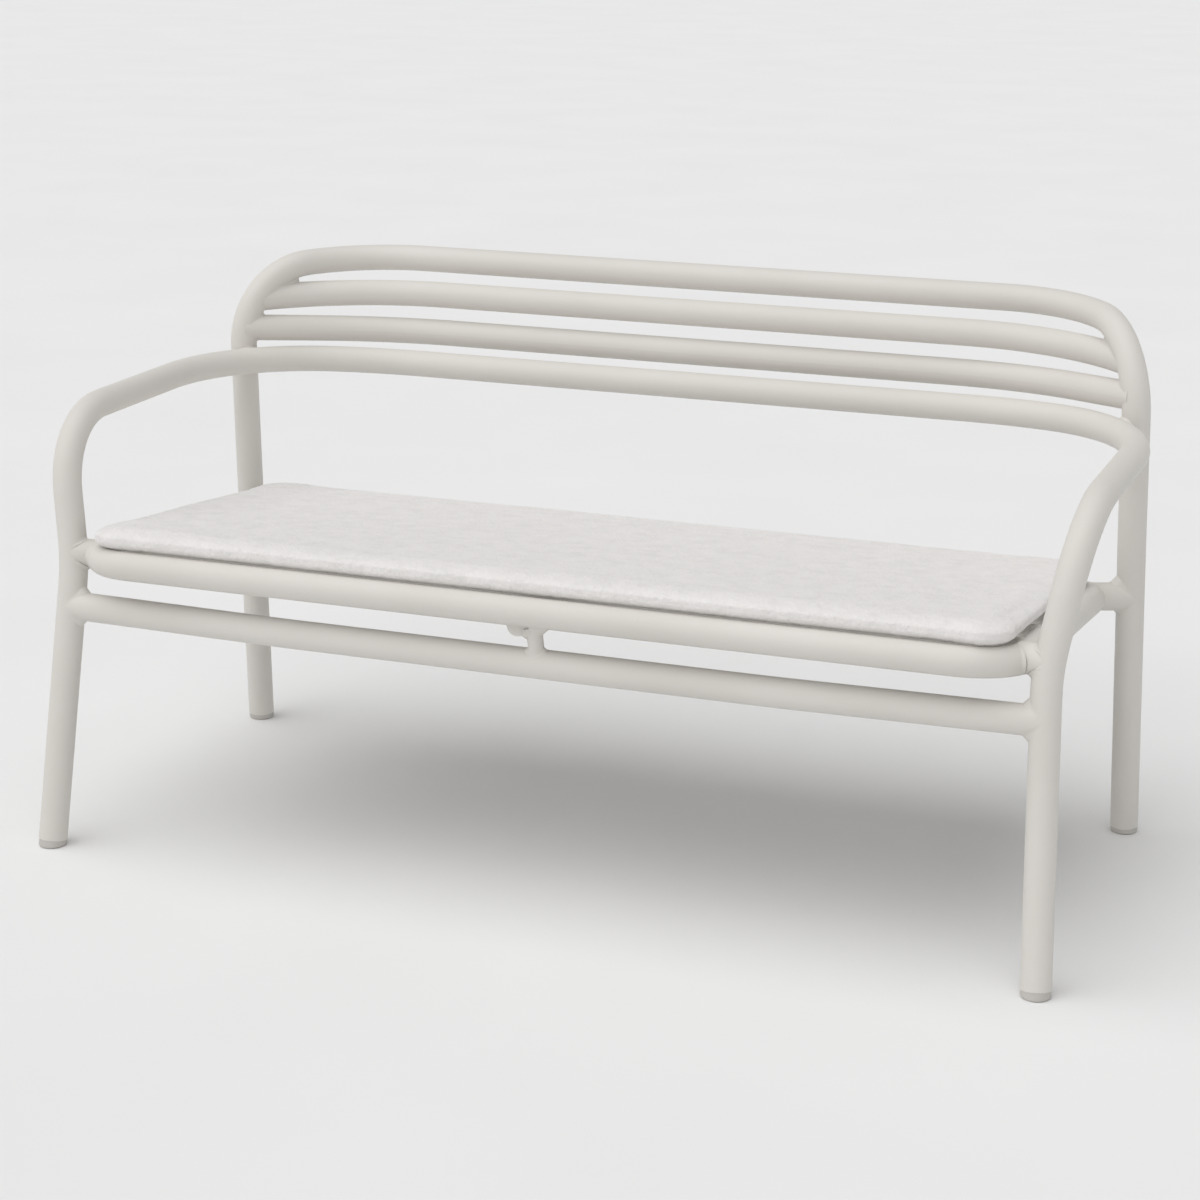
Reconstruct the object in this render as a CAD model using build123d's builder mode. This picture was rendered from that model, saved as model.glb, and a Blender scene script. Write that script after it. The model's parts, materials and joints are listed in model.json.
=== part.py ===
# Garden bench: four back tubes, two of them running on into legs and armrests, a raked seat ring with
# lengthwise seat tubes, a front stretcher with a short centre post, and a loose fleece seat pad.
# Millimetres. +X to the right as seen from the front, front edge at -Y, +Z up, feet on Z = 0.
from build123d import *

import math
import os

# ---------------------------------------------------------------- tube stock
TUBE_R = 18.75  # main frame tube, 37.5 mm outside
TUBE_WALL = 1.5
SLAT_R = 11.0  # seat tubes, 22 mm outside
SLAT_WALL = 1.2
BAR_R = 14.0  # crossbar under the seat, 28 mm outside
BAR_WALL = 1.5
POST_R = 10.0  # centre post between stretcher and seat, 20 mm outside

# ---------------------------------------------------------------- feet
GLIDE_H = 9.0  # visible height of a foot glide
GLIDE_LIP = 0.6  # glide is this much slimmer than the tube, a thin shadow line
GLIDE_PLUG = 16.0  # how far the plug reaches up the tube
GLIDE_FIT = 0.15  # play between plug and bore
GLIDE_EDGE = 3.0  # rounded lower edge

# ---------------------------------------------------------------- back frame: rear legs and top rail
REAR_FOOT = (663.0, 224.0)
REAR_KNEE = (656.0, 197.0, 430.0)
TOP_CORNER = (653.0, 184.0, 694.0)
TOP_BOW = (534.0, 353.0, 702.0)
REAR_KNEE_R = 340.0
TOP_CORNER_R = 110.0
TOP_BOW_R = 185.0

# ---------------------------------------------------------------- arm frame: front legs, arms, lowest back rail
FRONT_FOOT = (666.0, -353.0)
FRONT_KNEE = (649.0, -293.0, 378.0)
ARM_FRONT = (680.0, -261.0, 563.0)
ARM_REAR = (680.0, 185.0, 569.0)
ARM_BOW = (469.0, 268.0, 561.0)
FRONT_KNEE_R = 292.0
ARM_FRONT_R = 117.0
ARM_REAR_R = 238.0
ARM_BOW_R = 333.0

# ---------------------------------------------------------------- the two rails welded between the uprights
UPPER_END = (643.0, 203.0, 652.0)
UPPER_BOW = (540.0, 322.0, 655.0)
LOWER_END = (654.0, 188.0, 611.0)
LOWER_BOW = (480.0, 316.0, 600.0)
RAIL_BOW_R = 325.0

# ---------------------------------------------------------------- seat ring, raked down towards the back
RING_HALF = 617.0
RING_FRONT_Y = -329.0
RING_REAR_Y = 195.0
RING_FRONT_Z = 391.0
RING_REAR_Z = 340.0
RING_CORNER_R = 71.0
STUB_DROP = 2.0  # the rear stubs reach the legs this far below the ring's rear run

# ---------------------------------------------------------------- seat tubes, crossbar, stretcher, post
SLAT_COUNT = 5  # seat tubes, evenly spaced between the front and rear runs of the ring
SLAT_DROP = 0.5  # seat tubes lie this far below the top of the ring
STRETCHER_Z = 321.0
STRETCHER_BOW = 11.0  # how far the stretcher bows forward at the middle
STRETCHER_KNEE_X = 330.0
STRETCHER_KNEE_R = 1600.0
POST_X = 20.0  # the post stands beside the crossbar's front end

# ---------------------------------------------------------------- loose seat pad
PAD_HALF = 611.0
PAD_FRONT_Y = -337.0
PAD_REAR_Y = 179.0
PAD_T = 27.0
PAD_CORNER_R = 46.0
PAD_EDGE_R = 11.0
PAD_COVER = 2.5  # thickness of the fleece cover
PAD_LIFT = 0.3  # clearance under the pad


# ---------------------------------------------------------------- helpers
def rail_path(points, radii):
    """Centre line made of straight runs with a tangent arc at every inner point."""
    with BuildLine() as line:
        FilletPolyline(*points, radius=radii)
    return line.line


def half_bar(path, radius, bore):
    """Round bar swept along a centre line, hollow when bore is above zero."""
    with BuildPart() as bar:
        with BuildLine():
            add(path)
        with BuildSketch(Plane(origin=path @ 0, z_dir=path % 0)):
            Circle(radius)
            if bore > 0:
                Circle(bore, mode=Mode.SUBTRACT)
        sweep()
    return bar.part


def full_bar(path, radius, bore=0.0):
    """Round bar along a half centre line and its mirror image across the middle of the bench."""
    half = half_bar(path, radius, bore)
    with BuildPart() as bar:
        add(half)
        mirror(about=Plane.YZ)
    return bar.part


def save(builder, name):
    """Label a finished piece and write it as its own STEP file."""
    builder.part.label = name
    export_step(builder.part, "parts/" + name + ".step")


def along(start, end, distance):
    """Point at a distance from start on the way to end."""
    a = Vector(*start)
    return a + (Vector(*end) - a).normalized() * distance


os.makedirs("parts", exist_ok=True)

# ---------------------------------------------------------------- centre lines, right half (X >= 0)
rear_ground = (REAR_FOOT[0], REAR_FOOT[1], 0.0)
front_ground = (FRONT_FOOT[0], FRONT_FOOT[1], 0.0)
rear_start = along(rear_ground, REAR_KNEE, GLIDE_H)
front_start = along(front_ground, FRONT_KNEE, GLIDE_H)

back_path = rail_path(
    [rear_start, REAR_KNEE, TOP_CORNER, TOP_BOW, (0.0, TOP_BOW[1], TOP_BOW[2])],
    [REAR_KNEE_R, TOP_CORNER_R, TOP_BOW_R],
)
arm_path = rail_path(
    [front_start, FRONT_KNEE, ARM_FRONT, ARM_REAR, ARM_BOW, (0.0, ARM_BOW[1], ARM_BOW[2])],
    [FRONT_KNEE_R, ARM_FRONT_R, ARM_REAR_R, ARM_BOW_R],
)
upper_path = rail_path([UPPER_END, UPPER_BOW, (0.0, UPPER_BOW[1], UPPER_BOW[2])], [RAIL_BOW_R])
lower_path = rail_path([LOWER_END, LOWER_BOW, (0.0, LOWER_BOW[1], LOWER_BOW[2])], [RAIL_BOW_R])
ring_path = rail_path(
    [
        (0.0, RING_FRONT_Y, RING_FRONT_Z),
        (RING_HALF, RING_FRONT_Y, RING_FRONT_Z),
        (RING_HALF, RING_REAR_Y, RING_REAR_Z),
        (0.0, RING_REAR_Y, RING_REAR_Z),
    ],
    [RING_CORNER_R, RING_CORNER_R],
)

# solid outer shapes, used to cope the tubes that butt against them
back_bar = full_bar(back_path, TUBE_R)
arm_bar = full_bar(arm_path, TUBE_R)
ring_bar = full_bar(ring_path, TUBE_R)

# tubes before their ends are coped
TUBE_BORE = TUBE_R - TUBE_WALL
back_tube = full_bar(back_path, TUBE_R, TUBE_BORE)
arm_tube = full_bar(arm_path, TUBE_R, TUBE_BORE)
ring_tube = full_bar(ring_path, TUBE_R, TUBE_BORE)
upper_tube = full_bar(upper_path, TUBE_R, TUBE_BORE)
lower_tube = full_bar(lower_path, TUBE_R, TUBE_BORE)

# ---------------------------------------------------------------- continuous bent tubes
with BuildPart() as back_frame:
    add(back_tube)
save(back_frame, "back_frame")

with BuildPart() as arm_frame:
    add(arm_tube)
    add(back_bar, mode=Mode.SUBTRACT)
save(arm_frame, "arm_frame")

with BuildPart() as seat_ring:
    add(ring_tube)
    add(arm_bar, mode=Mode.SUBTRACT)
save(seat_ring, "seat_ring")

# ---------------------------------------------------------------- back rails coped against the uprights
with BuildPart() as back_rail_upper:
    add(upper_tube)
    add(back_bar, mode=Mode.SUBTRACT)
save(back_rail_upper, "back_rail_upper")

with BuildPart() as back_rail_lower:
    add(lower_tube)
    add(back_bar, mode=Mode.SUBTRACT)
save(back_rail_lower, "back_rail_lower")

# ---------------------------------------------------------------- seat plane
RAKE = math.atan2(RING_FRONT_Z - RING_REAR_Z, RING_REAR_Y - RING_FRONT_Y)
SEAT_UP = Vector(0, math.sin(RAKE), math.cos(RAKE))


def seat_point(x, y, lift):
    """Point above or below the ring's axis plane, measured square to the raked seat."""
    z = RING_FRONT_Z - (y - RING_FRONT_Y) * math.tan(RAKE)
    return Vector(x, y, z) + SEAT_UP * lift


def straight_bar(start, end, radius, bore=0.0):
    """Straight round bar between two points, hollow when bore is above zero."""
    with BuildLine() as line:
        Line(start, end)
    return half_bar(line.line, radius, bore)


# ---------------------------------------------------------------- seat tubes, one node each
SLAT_LIFT = TUBE_R - SLAT_R - SLAT_DROP
slat_pitch = (RING_REAR_Y - RING_FRONT_Y) / (SLAT_COUNT + 1)
for number in range(1, SLAT_COUNT + 1):
    slat_y = RING_FRONT_Y + slat_pitch * number
    slat = straight_bar(
        seat_point(-RING_HALF, slat_y, SLAT_LIFT),
        seat_point(RING_HALF, slat_y, SLAT_LIFT),
        SLAT_R,
        SLAT_R - SLAT_WALL,
    )
    with BuildPart() as seat_tube:
        add(slat)
        add(ring_bar, mode=Mode.SUBTRACT)
    save(seat_tube, "seat_tube_" + str(number))

# ---------------------------------------------------------------- crossbar the seat tubes rest on
BAR_DROP = SLAT_LIFT - SLAT_R - BAR_R
bar_front = seat_point(0, RING_FRONT_Y, BAR_DROP)
bar_rear = seat_point(0, RING_REAR_Y, BAR_DROP)
crossbar_solid = straight_bar(bar_front, bar_rear, BAR_R)
crossbar_bore = straight_bar(
    along(bar_front, bar_rear, BAR_WALL),
    along(bar_rear, bar_front, BAR_WALL),
    BAR_R - BAR_WALL,
)
with BuildPart() as seat_crossbar:
    add(crossbar_solid)
    add(crossbar_bore, mode=Mode.SUBTRACT)
    add(ring_bar, mode=Mode.SUBTRACT)
save(seat_crossbar, "seat_crossbar")


# ---------------------------------------------------------------- stretcher between the front legs
def leg_point(ground, knee, z):
    """Point on the straight lower run of a leg at a given height."""
    share = z / knee[2]
    return Vector(*ground) + (Vector(*knee) - Vector(*ground)) * share


stretcher_end = leg_point(front_ground, FRONT_KNEE, STRETCHER_Z)
stretcher_front_y = stretcher_end.Y - STRETCHER_BOW
stretcher_path = rail_path(
    [
        (0.0, stretcher_front_y, STRETCHER_Z),
        (STRETCHER_KNEE_X, stretcher_front_y, STRETCHER_Z),
        (stretcher_end.X, stretcher_end.Y, STRETCHER_Z),
    ],
    [STRETCHER_KNEE_R],
)
stretcher_bar = full_bar(stretcher_path, TUBE_R)
stretcher_tube = full_bar(stretcher_path, TUBE_R, TUBE_BORE)
with BuildPart() as front_stretcher:
    add(stretcher_tube)
    add(arm_bar, mode=Mode.SUBTRACT)
save(front_stretcher, "front_stretcher")

# ---------------------------------------------------------------- centre post, stretcher to seat ring
post_foot = Vector(POST_X, stretcher_front_y, STRETCHER_Z)
post_solid = straight_bar(post_foot, seat_point(POST_X, RING_FRONT_Y, 0), POST_R)
with BuildPart() as centre_post:
    add(post_solid)
    add(ring_bar, mode=Mode.SUBTRACT)
    add(stretcher_bar, mode=Mode.SUBTRACT)
    add(crossbar_solid, mode=Mode.SUBTRACT)
save(centre_post, "centre_post")


# ---------------------------------------------------------------- stubs from the ring's corners to the legs
def ring_stub(corner_y, inward, leg, cutter):
    """Short tube from the middle of a ring corner to a leg's axis, coped at both ends."""
    centre = seat_point(RING_HALF - RING_CORNER_R, corner_y + inward * RING_CORNER_R, 0)
    out = (leg - centre).normalized()
    stub = straight_bar(centre + out * RING_CORNER_R, leg, TUBE_R, TUBE_BORE)
    with BuildPart() as piece:
        add(stub)
        add(ring_bar, mode=Mode.SUBTRACT)
        add(cutter, mode=Mode.SUBTRACT)
    return piece.part


rear_joint = leg_point(rear_ground, REAR_KNEE, RING_REAR_Z - STUB_DROP)
front_share = (RING_FRONT_Z - FRONT_KNEE[2]) / (ARM_FRONT[2] - FRONT_KNEE[2])
front_joint = Vector(*FRONT_KNEE) + (Vector(*ARM_FRONT) - Vector(*FRONT_KNEE)) * front_share
stubs = {
    "ring_stub_rear": ring_stub(RING_REAR_Y, -1, rear_joint, back_bar),
    "ring_stub_front": ring_stub(RING_FRONT_Y, 1, front_joint, arm_bar),
}
for stub_name, stub_right in stubs.items():
    with BuildPart() as stub_piece:
        add(stub_right)
    save(stub_piece, stub_name + "_right")
    with BuildPart() as stub_piece:
        mirror(stub_right, about=Plane.YZ)
    save(stub_piece, stub_name + "_left")


# ---------------------------------------------------------------- foot glides
def foot_glide(ground, knee):
    """Cap under a leg: round, flat underneath, with a plug that reaches up the tube."""
    up = (Vector(*knee) - Vector(*ground)).normalized()
    below = Vector(*ground) - up * GLIDE_H
    seat = Vector(*ground) + up * GLIDE_H
    with BuildPart() as glide:
        with BuildSketch(Plane(origin=below, z_dir=up)):
            Circle(TUBE_R - GLIDE_LIP)
        extrude(amount=2 * GLIDE_H)
        with BuildSketch(Plane(origin=seat, z_dir=up)):
            Circle(TUBE_BORE - GLIDE_FIT)
        extrude(amount=GLIDE_PLUG)
        split(bisect_by=Plane.XY, keep=Keep.TOP)
        fillet(glide.faces().sort_by(Axis.Z)[0].edges(), GLIDE_EDGE)
    return glide.part


glides = {
    "foot_glide_rear": foot_glide(rear_ground, REAR_KNEE),
    "foot_glide_front": foot_glide(front_ground, FRONT_KNEE),
}
for glide_name, glide_right in glides.items():
    with BuildPart() as glide_piece:
        add(glide_right)
    save(glide_piece, glide_name + "_right")
    with BuildPart() as glide_piece:
        mirror(glide_right, about=Plane.YZ)
    save(glide_piece, glide_name + "_left")


# ---------------------------------------------------------------- loose seat pad: foam core in a fleece cover
def pad_block(inset):
    """Rounded slab lying on the raked seat, drawn in by an inset on every side."""
    middle_y = (PAD_FRONT_Y + PAD_REAR_Y) / 2
    depth = (PAD_REAR_Y - PAD_FRONT_Y) / math.cos(RAKE)
    base = Plane(
        origin=seat_point(0, middle_y, TUBE_R + PAD_LIFT + inset),
        x_dir=(1, 0, 0),
        z_dir=SEAT_UP,
    )
    with BuildPart() as block:
        with BuildSketch(base):
            RectangleRounded(2 * (PAD_HALF - inset), depth - 2 * inset, PAD_CORNER_R - inset)
        extrude(amount=PAD_T - 2 * inset)
        flat = block.faces().filter_by(GeomType.PLANE)
        rims = flat.sort_by(SortBy.AREA)[-2:].edges()
        fillet(rims, PAD_EDGE_R - inset)
    return block.part


core_block = pad_block(PAD_COVER)
with BuildPart() as pad_core:
    add(core_block)
save(pad_core, "pad_core")

with BuildPart() as pad_cover:
    add(pad_block(0.0))
    add(core_block, mode=Mode.SUBTRACT)
save(pad_cover, "pad_cover")
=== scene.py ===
import json
import math

import bmesh
import bpy
import numpy as np
from mathutils import Matrix, Vector, noise
from mathutils.bvhtree import BVHTree


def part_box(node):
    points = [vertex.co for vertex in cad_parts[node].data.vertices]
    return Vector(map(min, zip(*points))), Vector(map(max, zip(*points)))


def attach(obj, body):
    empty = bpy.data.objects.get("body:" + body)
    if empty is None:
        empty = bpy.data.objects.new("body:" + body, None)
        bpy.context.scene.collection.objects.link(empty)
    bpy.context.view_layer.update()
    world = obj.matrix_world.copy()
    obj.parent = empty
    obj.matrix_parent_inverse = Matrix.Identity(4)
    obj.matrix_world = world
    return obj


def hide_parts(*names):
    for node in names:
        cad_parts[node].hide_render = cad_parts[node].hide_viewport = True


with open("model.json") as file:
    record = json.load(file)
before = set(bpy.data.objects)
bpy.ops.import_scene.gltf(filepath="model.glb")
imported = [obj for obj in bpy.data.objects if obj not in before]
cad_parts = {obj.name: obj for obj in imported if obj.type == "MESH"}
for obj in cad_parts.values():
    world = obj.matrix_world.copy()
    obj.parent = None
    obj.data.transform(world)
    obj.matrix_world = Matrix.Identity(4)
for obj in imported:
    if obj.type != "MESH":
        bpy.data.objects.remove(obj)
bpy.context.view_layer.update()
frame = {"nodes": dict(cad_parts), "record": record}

nodes = frame["nodes"]


# ------------------------------------------------------------------ camera at the photograph's angle
CAM_PLACE = Vector((1.2240, -3.1944, 1.3051))
CAM_AZIMUTH = math.radians(20.02)
CAM_ELEVATION = math.radians(14.77)
CAM_ROLL = math.radians(0.50)
CAM_LENS = 79.46  # mm, on a 36 mm wide sensor
CAM_SHIFT = (-0.0469, -0.0516)


def make_camera():
    """Camera fitted to the outlines in the photograph."""
    data = bpy.data.cameras.new("camera")
    data.sensor_width = 36.0
    data.lens = CAM_LENS
    data.shift_x, data.shift_y = CAM_SHIFT
    data.clip_start = 0.05
    data.clip_end = 60.0
    cam = bpy.data.objects.new("camera", data)
    bpy.context.collection.objects.link(cam)
    az, el, roll = CAM_AZIMUTH, CAM_ELEVATION, CAM_ROLL
    back = Vector((math.sin(az) * math.cos(el), -math.cos(az) * math.cos(el), math.sin(el)))
    right = Vector((math.cos(az), math.sin(az), 0.0))
    up = back.cross(right)
    turned_right = right * math.cos(roll) + up * math.sin(roll)
    turned_up = up * math.cos(roll) - right * math.sin(roll)
    turn = Matrix((turned_right, turned_up, back)).transposed()
    cam.matrix_world = Matrix.Translation(CAM_PLACE) @ turn.to_4x4()
    bpy.context.scene.camera = cam


# ------------------------------------------------------------------ node materials
class Nodes:
    """Short forms for building a material's node tree."""

    def __init__(self, name):
        self.material = bpy.data.materials.new(name)
        self.material.use_nodes = True
        self.tree = self.material.node_tree
        self.shader = self.tree.nodes["Principled BSDF"]
        self.point = self.add("ShaderNodeTexCoord").outputs["Object"]

    def add(self, kind):
        return self.tree.nodes.new(kind)

    def link(self, a, b):
        self.tree.links.new(a, b)

    def noise(self, scale, detail=2.0, rough=0.5):
        node = self.add("ShaderNodeTexNoise")
        node.inputs["Scale"].default_value = scale
        node.inputs["Detail"].default_value = detail
        node.inputs["Roughness"].default_value = rough
        self.link(self.point, node.inputs["Vector"])
        return node.outputs["Fac"]

    def ramp(self, value, stops):
        node = self.add("ShaderNodeValToRGB")
        ramp = node.color_ramp
        while len(ramp.elements) < len(stops):
            ramp.elements.new(0.5)
        for element, (place, colour) in zip(ramp.elements, stops):
            element.position = place
            element.color = (*colour, 1.0)
        self.link(value, node.inputs["Fac"])
        return node.outputs["Color"]

    def span(self, value, low, high, start=0.3, end=0.7):
        node = self.add("ShaderNodeMapRange")
        node.inputs["From Min"].default_value = start
        node.inputs["From Max"].default_value = end
        node.inputs["To Min"].default_value = low
        node.inputs["To Max"].default_value = high
        self.link(value, node.inputs["Value"])
        return node.outputs["Result"]

    def bump(self, height, distance, strength=1.0, under=None):
        node = self.add("ShaderNodeBump")
        node.inputs["Distance"].default_value = distance
        node.inputs["Strength"].default_value = strength
        self.link(height, node.inputs["Height"])
        if under is not None:
            self.link(under, node.inputs["Normal"])
        return node.outputs["Normal"]


def powder_coat():
    """Fine-textured matt powder coat: faint orange peel, a little colour drift along the tubes."""
    m = Nodes("powder_coat_fine")
    drift = m.noise(5.0, 3.0)
    colour = m.ramp(drift, [(0.3, (0.655, 0.630, 0.592)), (0.7, (0.688, 0.664, 0.628))])
    m.link(colour, m.shader.inputs["Base Color"])
    m.link(m.span(m.noise(240.0, 3.0), 0.50, 0.60), m.shader.inputs["Roughness"])
    m.shader.inputs["Specular IOR Level"].default_value = 0.35
    peel = m.bump(m.noise(420.0, 2.0), 0.00012, 0.5)
    m.link(m.bump(m.noise(1500.0, 1.0), 0.00005, 0.4, peel), m.shader.inputs["Normal"])
    return m.material


def foot_plastic():
    """Moulded matt plastic with a spark-eroded surface."""
    m = Nodes("foot_plastic_moulded")
    colour = m.ramp(m.noise(30.0, 3.0), [(0.3, (0.50, 0.48, 0.45)), (0.7, (0.56, 0.54, 0.51))])
    m.link(colour, m.shader.inputs["Base Color"])
    m.link(m.span(m.noise(300.0, 2.0), 0.60, 0.75), m.shader.inputs["Roughness"])
    m.shader.inputs["Specular IOR Level"].default_value = 0.4
    m.link(m.bump(m.noise(1800.0, 2.0), 0.00008, 0.6), m.shader.inputs["Normal"])
    return m.material


def fleece():
    """Dense short pile: fibre-scale grain over soft tufts, a dusty sheen and mottled colour."""
    m = Nodes("fleece_pile")
    mottle = m.noise(38.0, 5.0, 0.62)
    shades = [(0.30, (0.765, 0.745, 0.730)), (0.5, (0.815, 0.792, 0.780)), (0.72, (0.845, 0.822, 0.810))]
    colour = m.ramp(mottle, shades)
    m.link(colour, m.shader.inputs["Base Color"])
    m.shader.inputs["Roughness"].default_value = 0.95
    m.shader.inputs["Specular IOR Level"].default_value = 0.15
    m.shader.inputs["Sheen Weight"].default_value = 0.35
    m.shader.inputs["Sheen Roughness"].default_value = 0.55
    tufts = m.bump(m.noise(170.0, 4.0, 0.6), 0.0030, 0.75)
    fibres = m.bump(m.noise(900.0, 4.0, 0.7), 0.0007, 0.6, tufts)
    m.link(fibres, m.shader.inputs["Normal"])
    return m.material


def floor_paint():
    """Pale matt paint."""
    m = Nodes("studio_floor")
    colour = m.ramp(m.noise(2.0, 2.0), [(0.3, (0.83, 0.83, 0.83)), (0.7, (0.85, 0.85, 0.85))])
    m.link(colour, m.shader.inputs["Base Color"])
    m.shader.inputs["Roughness"].default_value = 0.9
    return m.material


COAT = powder_coat()
GLIDE = foot_plastic()
FLEECE = fleece()


def dress(node, material):
    """Gives a CAD node its material."""
    for slot in nodes[node].material_slots:
        slot.material = material


for name in nodes:
    if name.startswith("foot_glide"):
        dress(name, GLIDE)
    elif not name.startswith("pad_"):
        dress(name, COAT)


# ------------------------------------------------------------------ centre lines of the tubes
def middle(name):
    """The middle of a CAD node's box."""
    lo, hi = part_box(name)
    return (lo + hi) / 2


def tree_of(name):
    """A CAD node's faces, ready for rays."""
    mesh = nodes[name].data
    return BVHTree.FromPolygons([v.co for v in mesh.vertices], [p.vertices for p in mesh.polygons])


def centred(tree, place, heading, rays=24, reach=0.03):
    """The centre of the bore near a place, from rays square to the heading. None outside a tube."""
    side = heading.orthogonal().normalized()
    over = heading.cross(side)
    rows, sums = [], []
    for k in range(rays):
        turn = 2 * math.pi * k / rays
        way = side * math.cos(turn) + over * math.sin(turn)
        hit = tree.ray_cast(place, way, reach)
        if hit[0] is None:
            continue
        a, b = (hit[0] - place).dot(side), (hit[0] - place).dot(over)
        rows.append((2 * a, 2 * b, 1.0))
        sums.append(a * a + b * b)
    if len(rows) < rays // 3:
        return None
    a, b, _ = np.linalg.lstsq(np.array(rows), np.array(sums), rcond=None)[0]
    return place + side * float(a) + over * float(b)


def centre_line(name, start, heading, step=0.006, most=900):
    """Points along a hollow tube's axis, from a start inside its bore until the tube ends or closes."""
    tree = tree_of(name)
    heading = heading.normalized()
    place = centred(tree, start, heading)
    points = [place]
    while len(points) < most:
        ahead = centred(tree, place + heading * step, heading)
        if ahead is None or (ahead - place).length > 2 * step:
            break
        heading = (ahead - place).normalized()
        place = ahead
        points.append(place)
        if len(points) > 20 and (place - points[0]).length < step * 0.9:
            break
    return np.array(points)


def mirrored(line):
    """A right-hand half line and its mirror image, as one line."""
    other = line[::-1] * np.array((-1.0, 1.0, 1.0))
    return np.vstack((other, line))


feet = {m["name"]: Vector(m["pos_m"]) for m in frame["record"]["mounts"]}
UP = Vector((0, 0, 1))
ACROSS = Vector((1, 0, 0))
lo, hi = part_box("front_stretcher")
TUBE_R = (hi.z - lo.z) / 2
lo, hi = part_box("seat_tube_1")
SLAT_R = (hi.y - lo.y) / 2
lo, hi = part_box("seat_crossbar")
BAR_R = (hi.x - lo.x) / 2
lo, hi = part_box("centre_post")
POST_R = (hi.x - lo.x) / 2

ABOVE_PLUG = 0.04  # clear of the foot glide's plug, up a leg
back_line = centre_line("back_frame", feet["foot_rear_right"] + UP * ABOVE_PLUG, UP)
arm_line = centre_line("arm_frame", feet["foot_front_right"] + UP * ABOVE_PLUG, UP)
lo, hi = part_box("seat_ring")
ring_line = centre_line("seat_ring", Vector((0.1, lo.y + TUBE_R, hi.z - TUBE_R)), ACROSS)
lo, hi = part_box("front_stretcher")
start = Vector((0.001, lo.y + TUBE_R, (lo.z + hi.z) / 2))
stretcher_line = mirrored(centre_line("front_stretcher", start, ACROSS))
rail_lines = {}
for name in ("back_rail_upper", "back_rail_lower"):
    lo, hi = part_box(name)
    start = Vector((0.001, hi.y - TUBE_R, (lo.z + hi.z) / 2))
    rail_lines[name] = mirrored(centre_line(name, start, ACROSS))
slat_lines = {}
for number in range(1, 6):
    name = "seat_tube_" + str(number)
    half = (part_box(name)[1].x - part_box(name)[0].x) / 2
    centre = middle(name)
    slat_lines[name] = np.array([centre - ACROSS * half, centre + ACROSS * half])
seat_back = (middle("seat_tube_5") - middle("seat_tube_1")).normalized()
seat_up = ACROSS.cross(seat_back)
bar_middle = middle("seat_crossbar")
bar_line = np.array([bar_middle - seat_back * 0.3, bar_middle + seat_back * 0.3])


# ------------------------------------------------------------------ weld fillets
def nearest(line, points):
    """For each point, the nearest point on a line of joined straight pieces."""
    start, run = line[:-1], np.diff(line, axis=0)
    gap = points[:, None, :] - start[None]
    share = np.clip((gap * run).sum(2) / (run * run).sum(1), 0.0, 1.0)
    spots = start[None] + run[None] * share[..., None]
    far = np.linalg.norm(points[:, None, :] - spots, axis=2)
    best = far.argmin(1)
    rows = np.arange(len(points))
    return spots[rows, best], far[rows, best]


def near_part(line, place, reach=0.16):
    """The part of a line within reach of a place."""
    close = np.linalg.norm(line - place, axis=1) < reach
    return line[close] if close.sum() > 2 else line


def fillet_object(name, centres, foot_a, foot_b, ball, closed=True, steps=9, root=0.0012):
    """A weld whose outer face is the hollow that a ball leaves as it rolls in the corner of two tubes."""
    to_a = (foot_a - centres) / np.linalg.norm(foot_a - centres, axis=1)[:, None]
    to_b = (foot_b - centres) / np.linalg.norm(foot_b - centres, axis=1)[:, None]
    angle = np.maximum(np.arccos(np.clip((to_a * to_b).sum(1), -1, 1)), 1e-3)
    verts, normals, faces = [], [], []
    for centre, a, b, turn in zip(centres, to_a, to_b, angle):
        for k in range(steps):
            t = k / (steps - 1)
            way = (a * math.sin((1 - t) * turn) + b * math.sin(t * turn)) / math.sin(turn)
            verts.append(centre + way * ball)
            normals.append(-way)
        verts += [centre + b * (ball + root), centre + a * (ball + root)]
        normals += [b, a]
    ring = steps + 2
    for i in range(len(centres) if closed else len(centres) - 1):
        j = (i + 1) % len(centres)
        for k in range(ring):
            n = (k + 1) % ring
            faces.append((i * ring + k, i * ring + n, j * ring + n, j * ring + k))
    if not closed:
        last = (len(centres) - 1) * ring
        faces.append(tuple(range(ring - 1, -1, -1)))
        faces.append(tuple(range(last, last + ring)))
    mesh = bpy.data.meshes.new(name)
    mesh.from_pydata([tuple(v) for v in verts], [], faces)
    mesh.update()
    outward = 0.0
    for p in mesh.polygons:
        if len(p.vertices) == 4 and all(v % ring < steps for v in p.vertices):
            outward += np.dot(np.array(p.normal), normals[p.vertices[0]]) * p.area
    if outward < 0:
        mesh.flip_normals()
    loops = [None] * len(mesh.loops)
    for p in mesh.polygons:
        p.use_smooth = True
        shown = len(p.vertices) == 4 and all(v % ring < steps for v in p.vertices)
        for loop in p.loop_indices:
            v = mesh.loops[loop].vertex_index
            loops[loop] = tuple(normals[v]) if shown else tuple(p.normal)
    mesh.normals_split_custom_set(loops)
    obj = bpy.data.objects.new(name, mesh)
    bpy.context.collection.objects.link(obj)
    mesh.materials.append(COAT)
    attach(obj, "frame")


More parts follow.
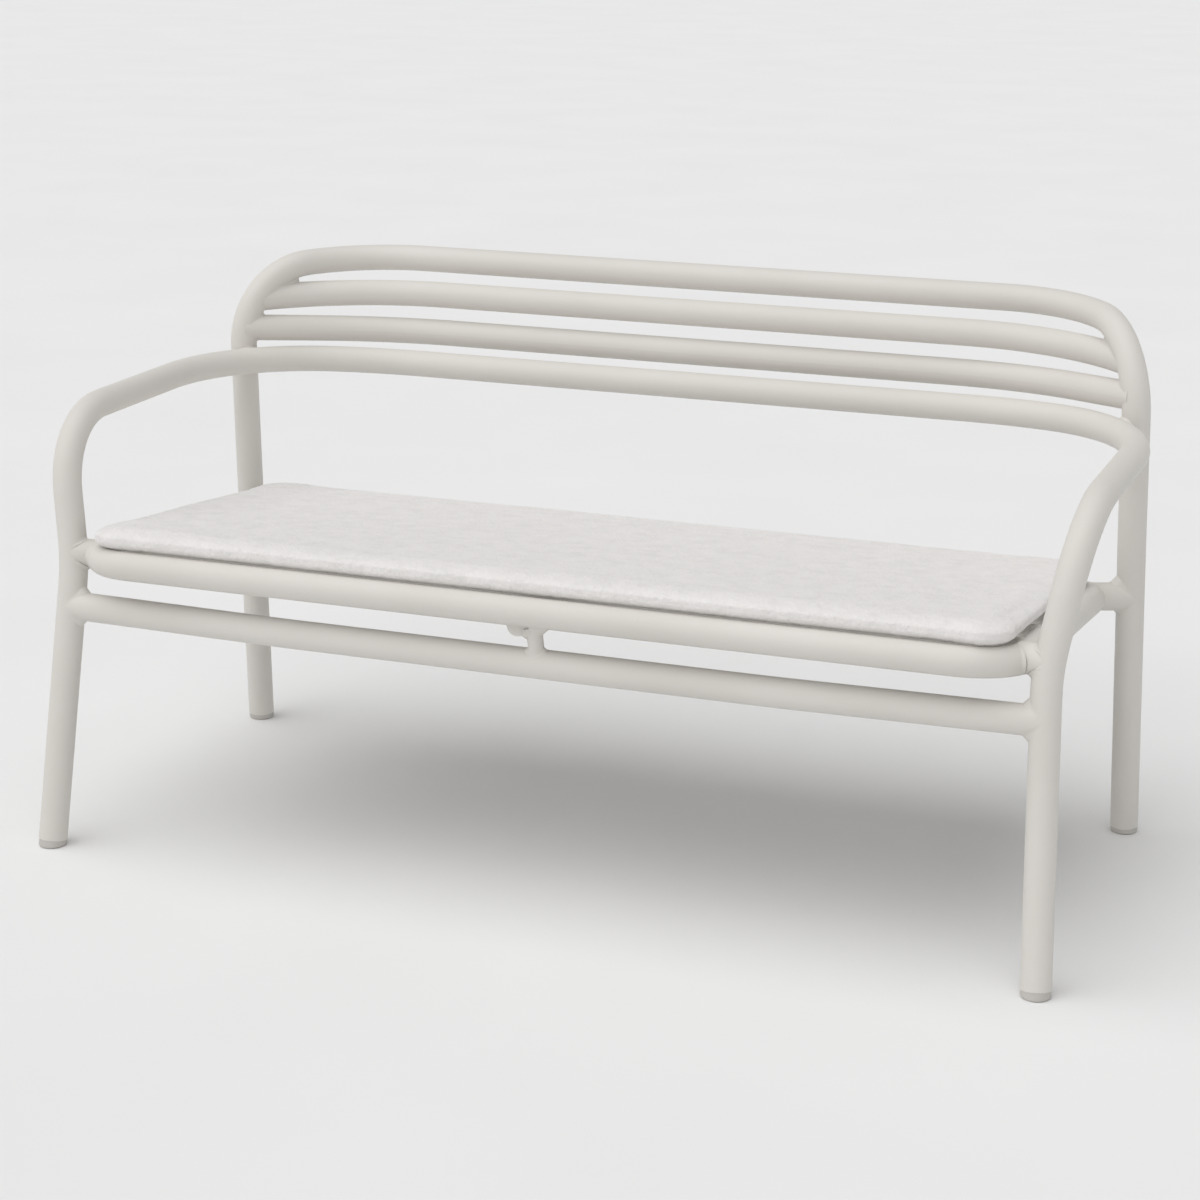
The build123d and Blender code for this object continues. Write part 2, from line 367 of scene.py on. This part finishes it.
def butt_weld(name, main, main_r, branch, branch_r, place, out, ball, turns=72):
    """Fillet round a tube that ends on another, or part way round where they meet only there."""
    place, out = np.array(place), np.array(Vector(out).normalized())
    main, branch = near_part(main, place), near_part(branch, place)
    side = np.array(Vector(out).orthogonal().normalized())
    over = np.cross(out, side)
    depths = np.linspace(0.10, -0.02, 241)
    found = []
    for k in range(turns):
        way = side * math.cos(2 * math.pi * k / turns) + over * math.sin(2 * math.pi * k / turns)
        lift = np.full(len(depths), branch_r + ball)
        for _ in range(3):
            spots = place + out * depths[:, None] + way * lift[:, None]
            lift += branch_r + ball - nearest(branch, spots)[1]
        spots = place + out * depths[:, None] + way * lift[:, None]
        gap = nearest(main, spots)[1] - main_r - ball
        inside = np.nonzero(gap < 0)[0]
        if len(inside) and inside[0] > 0:
            n = inside[0]
            t = gap[n - 1] / (gap[n - 1] - gap[n])
            found.append(spots[n - 1] * (1 - t) + spots[n] * t)
        elif np.abs(gap).min() < 0.0002:
            found.append(spots[np.abs(gap).argmin()])
        else:
            found.append(None)
    closed = all(f is not None for f in found)
    if not closed:
        first = max(range(turns), key=lambda k: (found[k - 1] is None) * run_length(found, k))
        found = [found[(first + k) % turns] for k in range(run_length(found, first))]
    centres = np.array(found)
    fillet_object(name, centres, nearest(main, centres)[0], nearest(branch, centres)[0], ball, closed)


def run_length(found, start):
    """How many places in a row, going round from start, have a fillet."""
    count = 0
    while count < len(found) and found[(start + count) % len(found)] is not None:
        count += 1
    return count


def cross_weld(name, line_a, radius_a, line_b, radius_b, place, ball, turns=72):
    """Fillet round the place where two tubes touch as they pass each other."""
    place = np.array(place)
    line_a, line_b = near_part(line_a, place), near_part(line_b, place)
    foot_a = nearest(line_a, place[None])[0][0]
    for _ in range(12):
        foot_b = nearest(line_b, foot_a[None])[0][0]
        foot_a = nearest(line_a, foot_b[None])[0][0]
    across = foot_b - foot_a
    span = np.linalg.norm(across)
    across = across / span
    middle_point = foot_a + across * (radius_a + span - radius_b) / 2
    side = np.array(Vector(across).orthogonal().normalized())
    over = np.cross(across, side)
    centres = []
    for k in range(turns):
        way = side * math.cos(2 * math.pi * k / turns) + over * math.sin(2 * math.pi * k / turns)
        s, r = 0.0, 2 * math.sqrt(max(radius_a, radius_b) * ball)
        for _ in range(40):
            probe = np.array([(s, r), (s + 1e-5, r), (s, r + 1e-5)])
            spots = middle_point + across * probe[:, :1] + way * probe[:, 1:]
            ga = nearest(line_a, spots)[1] - radius_a - ball
            gb = nearest(line_b, spots)[1] - radius_b - ball
            slope = np.array([[ga[1] - ga[0], ga[2] - ga[0]], [gb[1] - gb[0], gb[2] - gb[0]]]) / 1e-5
            step = np.linalg.lstsq(slope, np.array([ga[0], gb[0]]), rcond=1e-3)[0]
            step = np.clip(step, -0.008, 0.008)
            s, r = s - step[0], r - step[1]
            if abs(step).max() < 1e-7:
                break
        centres.append(middle_point + across * s + way * r)
    centres = np.array(centres)
    fillet_object(name, centres, nearest(line_a, centres)[0], nearest(line_b, centres)[0], ball)


def nearest_to(line, place):
    """The nearest point on a line to one place."""
    return nearest(line, np.array(place)[None])[0][0]


def bar_axis(name):
    """Middle and direction of a short tube, from the faces of its own wall."""
    spread = np.zeros((3, 3))
    for p in nodes[name].data.polygons:
        n = np.array(p.normal)
        spread += p.area * np.outer(n, n)
    return np.array(middle(name)), np.linalg.eigh(spread)[1][:, 0]


FRAME_BALL = 0.009  # fillet radius where main tubes meet
CORNER_BALL = 0.005  # where the ring's front corners meet the legs
RAIL_BALL = 0.003
SLAT_BALL = 0.004
BAR_BALL = 0.006
POST_BALL = 0.013
POST_SIDE_BALL = FRAME_BALL * 0.7
SLAT_TURNS, CROSSING_TURNS = 40, 48  # places round a slat's end and round its crossing
END_POINTS = 20  # points of a rail's line that give its direction at the end
FRONT_LEG_Y = -0.2  # the arm tube's part in front of this is the front leg
STUB_PROBE = 0.01  # step along a stub that tells which way its leg is
STUB_REACH = 0.04  # half length of the search along a stub
post_foot = nearest_to(stretcher_line, middle("centre_post"))
post_head = nearest_to(ring_line, middle("centre_post"))
post_line = np.array([post_foot, post_head])
for side, sign in (("right", 1), ("left", -1)):
    tip = stretcher_line[-1] if sign > 0 else stretcher_line[0]
    butt_weld("weld_stretcher_" + side, arm_line, TUBE_R, stretcher_line, TUBE_R,
              nearest_to(arm_line, tip), (-sign, 0, 0), FRAME_BALL)
    for name, line in rail_lines.items():
        ends = line[::-1] if sign > 0 else line
        tip, inner = ends[0], ends[END_POINTS - 1]
        butt_weld("weld_" + name + "_" + side, back_line, TUBE_R, line, TUBE_R,
                  nearest_to(back_line, tip), inner - tip, RAIL_BALL)
    for name, line in slat_lines.items():
        tip = line[1] if sign > 0 else line[0]
        butt_weld("weld_" + name + "_" + side, ring_line, TUBE_R, line, SLAT_R,
                  tip, (-sign, 0, 0), SLAT_BALL, SLAT_TURNS)
    upright = back_line[np.sign(back_line[:, 0]) == sign]
    front_leg = arm_line[(np.sign(arm_line[:, 0]) == sign) & (arm_line[:, 1] < FRONT_LEG_Y)]
    arm_rear = arm_line[(np.sign(arm_line[:, 0]) == sign) & (arm_line[:, 1] > 0)]
    touch = arm_rear[nearest(upright, arm_rear)[1].argmin()]
    cross_weld("weld_arm_" + side, arm_rear, TUBE_R, upright, TUBE_R, touch, RAIL_BALL)
    ring_half = ring_line[np.sign(ring_line[:, 0]) == sign]
    for place, post in (("front", front_leg), ("rear", upright)):
        centre, way = bar_axis("ring_stub_" + place + "_" + side)
        ahead, behind = nearest(post, np.array([centre + way * STUB_PROBE, centre - way * STUB_PROBE]))[1]
        if ahead > behind:
            way = -way
        stub = centre + way * np.linspace(-STUB_REACH, STUB_REACH, 81)[:, None]
        ring_end = stub[nearest(ring_half, stub)[1].argmin()]
        leg_end = stub[nearest(post, stub)[1].argmin()]
        stub = np.array([centre - way * 2 * STUB_REACH, centre + way * 2 * STUB_REACH])
        ball = CORNER_BALL if place == "front" else FRAME_BALL
        butt_weld("weld_ring_" + place + "_" + side, ring_half, TUBE_R, stub, TUBE_R, ring_end, way, ball)
        butt_weld("weld_leg_" + place + "_" + side, post, TUBE_R, stub, TUBE_R, leg_end, -way, ball)
for name, end, out in (("front", bar_line[0], seat_back), ("rear", bar_line[-1], -seat_back)):
    butt_weld("weld_crossbar_" + name, ring_line, TUBE_R, bar_line, BAR_R, end, out, BAR_BALL)
for name, line in slat_lines.items():
    spot = nearest_to(bar_line, middle(name))
    cross_weld("weld_" + name + "_crossbar", bar_line, BAR_R, line, SLAT_R,
               spot, SLAT_BALL, CROSSING_TURNS)
post_up = post_head - post_foot
butt_weld("weld_post_foot", stretcher_line, TUBE_R, post_line, POST_R, post_foot, post_up, POST_SIDE_BALL)
butt_weld("weld_post_head", ring_line, TUBE_R, post_line, POST_R, post_head, -post_up, POST_BALL)
butt_weld("weld_post_crossbar", bar_line, BAR_R, post_line, POST_R, post_head, -post_up, POST_SIDE_BALL)


# ------------------------------------------------------------------ the fleece pad
PILE = 0.0006  # height of the tufts
SEAM_DEPTH = 0.0009
EDGE_DEPTH = 0.018  # how far in from its rim the pad reaches full thickness
VOXEL = 0.006
START_INSET = 0.003  # the form starts this much smaller all round, to leave room for the swelling
START_THINNER = 0.004
CROWN = 0.0012  # slow rise and fall of the top
WANDER = 0.0016  # slow in and out of the front and back edges
PULL_X, PULL_Y = 0.0020, 0.0015  # how far the sides pull in between the corners
FOLD_DEPTH, FOLD_WIDTH = 0.0026, 0.0042
SWELL = 0.005  # the most that the filling pushes the cover out
cover = np.array([v.co for v in nodes["pad_cover"].data.vertices])
axes = np.array([ACROSS, seat_back, seat_up])
placed = cover @ axes.T
pad_lo, pad_hi = placed.min(0), placed.max(0)
pad_mid = (pad_lo + pad_hi) / 2
PAD_HALF = (pad_hi[0] - pad_lo[0]) / 2
PAD_DEEP = (pad_hi[1] - pad_lo[1]) / 2
PAD_THICK = pad_hi[2] - pad_lo[2]
PAD_CORNER = 0.046


def outline(inset, corner, per_corner=14):
    """Rounded rectangle of the pad drawn in by an inset, as points going round."""
    points = []
    r = max(corner - inset, 0.012)
    for k, (sx, sy) in enumerate(((1, 1), (-1, 1), (-1, -1), (1, -1))):
        cx, cy = sx * (PAD_HALF - inset - r), sy * (PAD_DEEP - inset - r)
        for n in range(per_corner + 1):
            a = math.pi / 2 * (k + n / per_corner)
            points.append((cx + r * math.cos(a), cy + r * math.sin(a)))
    return points


def edge_shape(depth, power=2.3):
    """Half thickness of the filling, from 0 at the rim to 1 inside."""
    t = min(depth / EDGE_DEPTH, 1.0)
    return (1 - (1 - t) ** power) ** (1 / power)


def filling(thick, inset):
    """Closed slab with thinned, rounded edges, flat inside, in the pad's own axes."""
    depths = [EDGE_DEPTH * (n / 12) ** 1.7 for n in range(13)]
    loops = [(d, -thick / 2 * edge_shape(d)) for d in reversed(depths)]
    loops += [(d, thick / 2 * edge_shape(d)) for d in depths[1:]]
    bm = bmesh.new()
    rows = []
    for d, z in loops:
        rows.append([bm.verts.new((x, y, z)) for x, y in outline(inset + d, PAD_CORNER)])
    count = len(rows[0])
    for low, high in zip(rows, rows[1:]):
        for k in range(count):
            bm.faces.new((low[k], low[(k + 1) % count], high[(k + 1) % count], high[k]))
    bm.faces.new(list(reversed(rows[0])))
    bm.faces.new(rows[-1])
    mesh = bpy.data.meshes.new("pad_form")
    bm.to_mesh(mesh)
    bm.free()
    return mesh


def baked(obj):
    """The object's mesh with its modifiers applied."""
    return bpy.data.meshes.new_from_object(obj.evaluated_get(bpy.context.evaluated_depsgraph_get()))


def points_of(mesh):
    """A mesh's points as rows."""
    co = np.empty(len(mesh.vertices) * 3)
    mesh.vertices.foreach_get("co", co)
    return co.reshape(-1, 3)


def set_points(mesh, co):
    """Puts rows of points back into their mesh."""
    mesh.vertices.foreach_set("co", co.ravel())
    mesh.update()


def swelled(obj, steps=20):
    """Blows the cover up against its own stretch, and caps how far each point moves."""
    rest = points_of(obj.data)
    cloth = obj.modifiers.new("Cloth", "CLOTH")
    settings = cloth.settings
    settings.quality = 4
    settings.mass = 0.25
    settings.tension_stiffness = 12
    settings.compression_stiffness = 12
    settings.shear_stiffness = 4
    settings.bending_stiffness = 0.4
    settings.use_pressure = True
    settings.uniform_pressure_force = 4
    settings.effector_weights.gravity = 0
    cloth.collision_settings.use_collision = False
    cloth.collision_settings.use_self_collision = False
    cloth.point_cache.frame_start = 1
    cloth.point_cache.frame_end = steps
    scene = bpy.context.scene
    for step in range(1, steps + 1):
        scene.frame_set(step)
    mesh = baked(obj)
    moved = points_of(mesh) - rest
    far = np.linalg.norm(moved, axis=1)
    soft = SWELL * np.tanh(far / SWELL)
    moved *= (soft / np.maximum(far, 1e-9))[:, None]
    obj.modifiers.clear()
    scene.frame_set(1)
    set_points(mesh, rest + moved)
    obj.data = mesh


def normals_of(mesh):
    """A mesh's point normals as rows."""
    out = np.empty(len(mesh.vertices) * 3)
    mesh.vertices.foreach_get("normal", out)
    return out.reshape(-1, 3)


def ripple(co, size, seed, depth=1):
    """Smooth random heights, about -1 to 1, with features of the given size."""
    shift = Vector((seed * 7.3, seed * 3.1, seed * 5.7))
    return np.array([noise.fractal(Vector(p) / size + shift, 1.0, 2.0, depth) for p in co])


def near_segment(co, a, b):
    """Distance in plan from the line a to b, and how far along it from 0 to 1."""
    a, b = np.array(a), np.array(b)
    run = b - a
    share = np.clip(((co[:, :2] - a) @ run) / (run @ run), 0, 1)
    return np.linalg.norm(co[:, :2] - a - share[:, None] * run, axis=1), share


def make_pad():
    """The loose pad: swelled by cloth simulation, then its edge, fold, seam and tufts."""
    form = filling(PAD_THICK - START_THINNER, START_INSET)
    pad = bpy.data.objects.new("fleece_pad", form)
    bpy.context.collection.objects.link(pad)
    remesh = pad.modifiers.new("Remesh", "REMESH")
    remesh.mode = "VOXEL"
    remesh.voxel_size = VOXEL
    mesh = baked(pad)
    pad.modifiers.clear()
    pad.data = mesh
    swelled(pad)
    smooth = pad.modifiers.new("Subdivision", "SUBSURF")
    smooth.levels = smooth.render_levels = 1
    mesh = baked(pad)
    pad.modifiers.clear()
    pad.data = mesh
    co = points_of(mesh)
    co[:, :2] *= (PAD_HALF - 0.0005, PAD_DEEP - 0.0005) / np.abs(co[:, :2]).max(0)
    top = np.clip(co[:, 2] / (PAD_THICK / 2), 0, 1)
    rim = np.maximum(np.abs(co[:, 0]) - PAD_HALF, np.abs(co[:, 1]) - PAD_DEEP)
    inner = np.clip(-rim / 0.05, 0, 1)
    co[:, 2] += top * (CROWN * ripple(co * (1, 1, 0), 0.16, 1) - 0.0008 * (1 - inner))
    along = co * (1, 0, 0) + (0, np.sign(co[0, 1]), 0)
    co[:, 1] += WANDER * ripple(along, 0.19, 2) * (1 - inner)
    pull = np.cos(np.clip(co / (PAD_HALF, PAD_DEEP, 1), -1, 1) * math.pi / 2)
    co[:, 0] -= np.sign(co[:, 0]) * PULL_X * pull[:, 1] * (1 - inner)
    co[:, 1] -= np.sign(co[:, 1]) * PULL_Y * pull[:, 0] * (1 - inner)
    # a fold in the cover beside the right-hand end, running out towards the back
    fold_front = (PAD_HALF - 0.026, -PAD_DEEP + 0.046)
    fold_back = (PAD_HALF - 0.010, -PAD_DEEP + 0.215)
    far, share = near_segment(co, fold_front, fold_back)
    fade = np.minimum(share / 0.12, 1) * np.minimum((1 - share) / 0.45, 1)
    co[:, 2] -= top * FOLD_DEPTH * fade * np.exp(-((far / FOLD_WIDTH) ** 2))
    set_points(mesh, co)
    # the seam that joins the top and bottom of the cover, round the rim
    normal = normals_of(mesh)
    seam = np.exp(-((co[:, 2] / 0.0013) ** 2)) * (np.abs(normal[:, 2]) < 0.6)
    tufts = ripple(co, 0.0075, 3, 2) + 0.6 * ripple(co, 0.018, 4)
    co += normal * (PILE * tufts - SEAM_DEPTH * seam)[:, None]
    co[:, 2] = np.maximum(co[:, 2], -PAD_THICK / 2)
    co[:, 2] = np.minimum(co[:, 2], PAD_THICK / 2 + 0.002)
    set_points(mesh, (co + pad_mid) @ axes)
    mesh.polygons.foreach_set("use_smooth", [True] * len(mesh.polygons))
    mesh.materials.clear()
    mesh.materials.append(FLEECE)
    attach(pad, "pad")
    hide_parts("pad_cover", "pad_core")


make_pad()


# ------------------------------------------------------------------ studio
def make_floor(radius=90.0, turns=128):
    """Plain pale floor, wide enough to reach the horizon from every side."""
    rim = [(radius * math.cos(2 * math.pi * k / turns), radius * math.sin(2 * math.pi * k / turns), 0.0)
           for k in range(turns)]
    mesh = bpy.data.meshes.new("floor")
    mesh.from_pydata(rim, [], [tuple(range(turns))])
    mesh.materials.append(floor_paint())
    floor = bpy.data.objects.new("floor", mesh)
    bpy.context.collection.objects.link(floor)


def soft_sun(name, toward, spread, strength):
    """A broad, even light from one direction, like a large softbox a long way off."""
    data = bpy.data.lights.new(name, "SUN")
    data.angle = math.radians(spread)
    data.energy = strength
    lamp = bpy.data.objects.new(name, data)
    bpy.context.collection.objects.link(lamp)
    lamp.rotation_euler = Vector(toward).to_track_quat("-Z", "Y").to_euler()


def studio_world():
    """Pale all round near the horizon, and dimmer overhead, where the key light is."""
    world = bpy.data.worlds.new("studio")
    world.use_nodes = True
    parts, links = world.node_tree.nodes, world.node_tree.links
    back = parts["Background"]
    coord = parts.new("ShaderNodeTexCoord")
    split = parts.new("ShaderNodeSeparateXYZ")
    ramp = parts.new("ShaderNodeValToRGB")
    links.new(coord.outputs["Generated"], split.inputs[0])
    links.new(split.outputs["Z"], ramp.inputs[0])
    links.new(ramp.outputs["Color"], back.inputs["Color"])
    stops = ramp.color_ramp.elements
    stops[0].position, stops[0].color = 0.12, (0.93, 0.93, 0.92, 1)
    stops[1].position, stops[1].color = 0.55, (0.34, 0.34, 0.34, 1)
    bpy.context.scene.world = world


make_camera()
make_floor()
soft_sun("key", toward=(0.25, 0.35, -1.0), spread=70, strength=1.9)
studio_world()
bpy.context.scene.view_settings.view_transform = "Standard"
